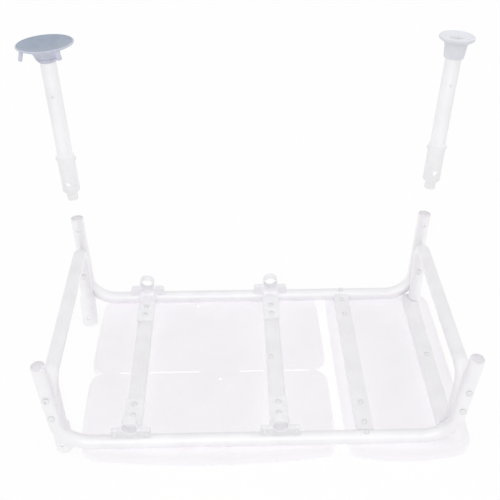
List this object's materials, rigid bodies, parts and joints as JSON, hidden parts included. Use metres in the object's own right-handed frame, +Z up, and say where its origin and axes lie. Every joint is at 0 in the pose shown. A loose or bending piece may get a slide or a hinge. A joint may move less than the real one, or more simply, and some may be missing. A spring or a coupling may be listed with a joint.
{
  "type": "bath transfer bench",
  "caption": "Bath transfer bench in assembly, upside down on its seat: bent tube frame, two seat panels, backrest brackets, and far legs held over the sockets they slide onto.",
  "frame": {"origin": "on the sitting face of the large seat panel, midway between the two rails and midway between the leg sockets; the bench lies on this face", "axes": "+X along the bench from the wide panel to the narrow one, +Y across it towards the legs that are fitted, +Z up from the sitting face towards the feet"},
  "size_m": [0.7893, 0.4911, 0.5862],
  "materials": {
    "frame_aluminium": "satin anodised",
    "seat_plastic": "fine moulded texture",
    "bracket_plastic": "moulded",
    "coupler_plastic": "moulded",
    "fastener_steel": "bright plated",
    "spring_steel": "plain",
    "suction_rubber": "soft moulded",
    "tip_rubber": "soft moulded"
  },
  "bodies": {
    "frame": {"large_seat_panel": "seat_plastic", "small_seat_panel": "seat_plastic", "near_rail": "frame_aluminium", "far_rail": "frame_aluminium", "left_end_frame": "frame_aluminium", "right_end_frame": "frame_aluminium", "left_bracket_crossbar": "frame_aluminium", "right_bracket_crossbar": "frame_aluminium", "middle_crossbar": "frame_aluminium", "end_crossbar": "frame_aluminium", "middle_crossbar_screw_1": "fastener_steel", "middle_crossbar_screw_2": "fastener_steel", "middle_crossbar_screw_3": "fastener_steel", "middle_crossbar_screw_4": "fastener_steel", "bracket_crossbar_screw": "fastener_steel", "end_crossbar_screw_1": "fastener_steel", "end_crossbar_screw_2": "fastener_steel", "end_crossbar_screw_3": "fastener_steel", "near_rail_screw": "fastener_steel", "far_rail_screw": "fastener_steel", "near_left_lower_frame_bolt": "fastener_steel", "near_left_upper_frame_bolt": "fastener_steel", "near_right_lower_frame_bolt": "fastener_steel", "near_right_upper_frame_bolt": "fastener_steel", "far_left_lower_frame_bolt": "fastener_steel", "far_left_upper_frame_bolt": "fastener_steel", "far_right_lower_frame_bolt": "fastener_steel", "far_right_upper_frame_bolt": "fastener_steel", "near_left_inner_foot_bolt": "fastener_steel", "near_left_outer_foot_bolt": "fastener_steel", "near_right_inner_foot_bolt": "fastener_steel", "near_right_outer_foot_bolt": "fastener_steel", "far_left_inner_foot_bolt": "fastener_steel", "far_left_outer_foot_bolt": "fastener_steel", "far_right_inner_foot_bolt": "fastener_steel", "far_right_outer_foot_bolt": "fastener_steel", "near_left_bracket_foot": "bracket_plastic", "near_right_bracket_foot": "bracket_plastic", "far_left_bracket_foot": "bracket_plastic", "far_right_bracket_foot": "bracket_plastic", "near_left_bracket_ring": "bracket_plastic", "near_right_bracket_ring": "bracket_plastic", "far_left_bracket_ring": "bracket_plastic", "far_right_bracket_ring": "bracket_plastic"},
    "left_leg": {"left_leg_tube": "frame_aluminium", "left_leg_sleeve": "coupler_plastic", "left_leg_plug": "coupler_plastic", "left_leg_rivet": "fastener_steel", "left_button_spring": "spring_steel", "suction_foot_collar": "suction_rubber", "suction_foot_cup": "suction_rubber"},
    "right_leg": {"right_leg_tube": "frame_aluminium", "right_leg_sleeve": "coupler_plastic", "right_leg_plug": "coupler_plastic", "right_leg_rivet": "fastener_steel", "right_button_spring": "spring_steel", "rubber_tip": "tip_rubber", "tip_washer": "fastener_steel"},
    "left_leg_button": {"left_snap_button": "fastener_steel"},
    "right_leg_button": {"right_snap_button": "fastener_steel"}
  },
  "joints": [
    {"name": "left_leg_slide", "type": "slide", "parent": "frame", "child": "left_leg", "axis": [0.0449, -0.0678, -0.9967], "range_m": [0, 0.104]},
    {"name": "right_leg_slide", "type": "slide", "parent": "frame", "child": "right_leg", "axis": [-0.0449, -0.0678, -0.9967], "range_m": [0, 0.118]},
    {"name": "left_button_slide", "type": "slide", "parent": "left_leg", "child": "left_leg_button", "axis": [-0.003, -0.9977, 0.0677], "range_m": [0, 0.00867], "stiffness_N_per_m": 600, "springref_m": 0.00867},
    {"name": "right_button_slide", "type": "slide", "parent": "right_leg", "child": "right_leg_button", "axis": [0.003, -0.9977, 0.0677], "range_m": [0, 0.00867], "stiffness_N_per_m": 600, "springref_m": 0.00867}
  ]
}
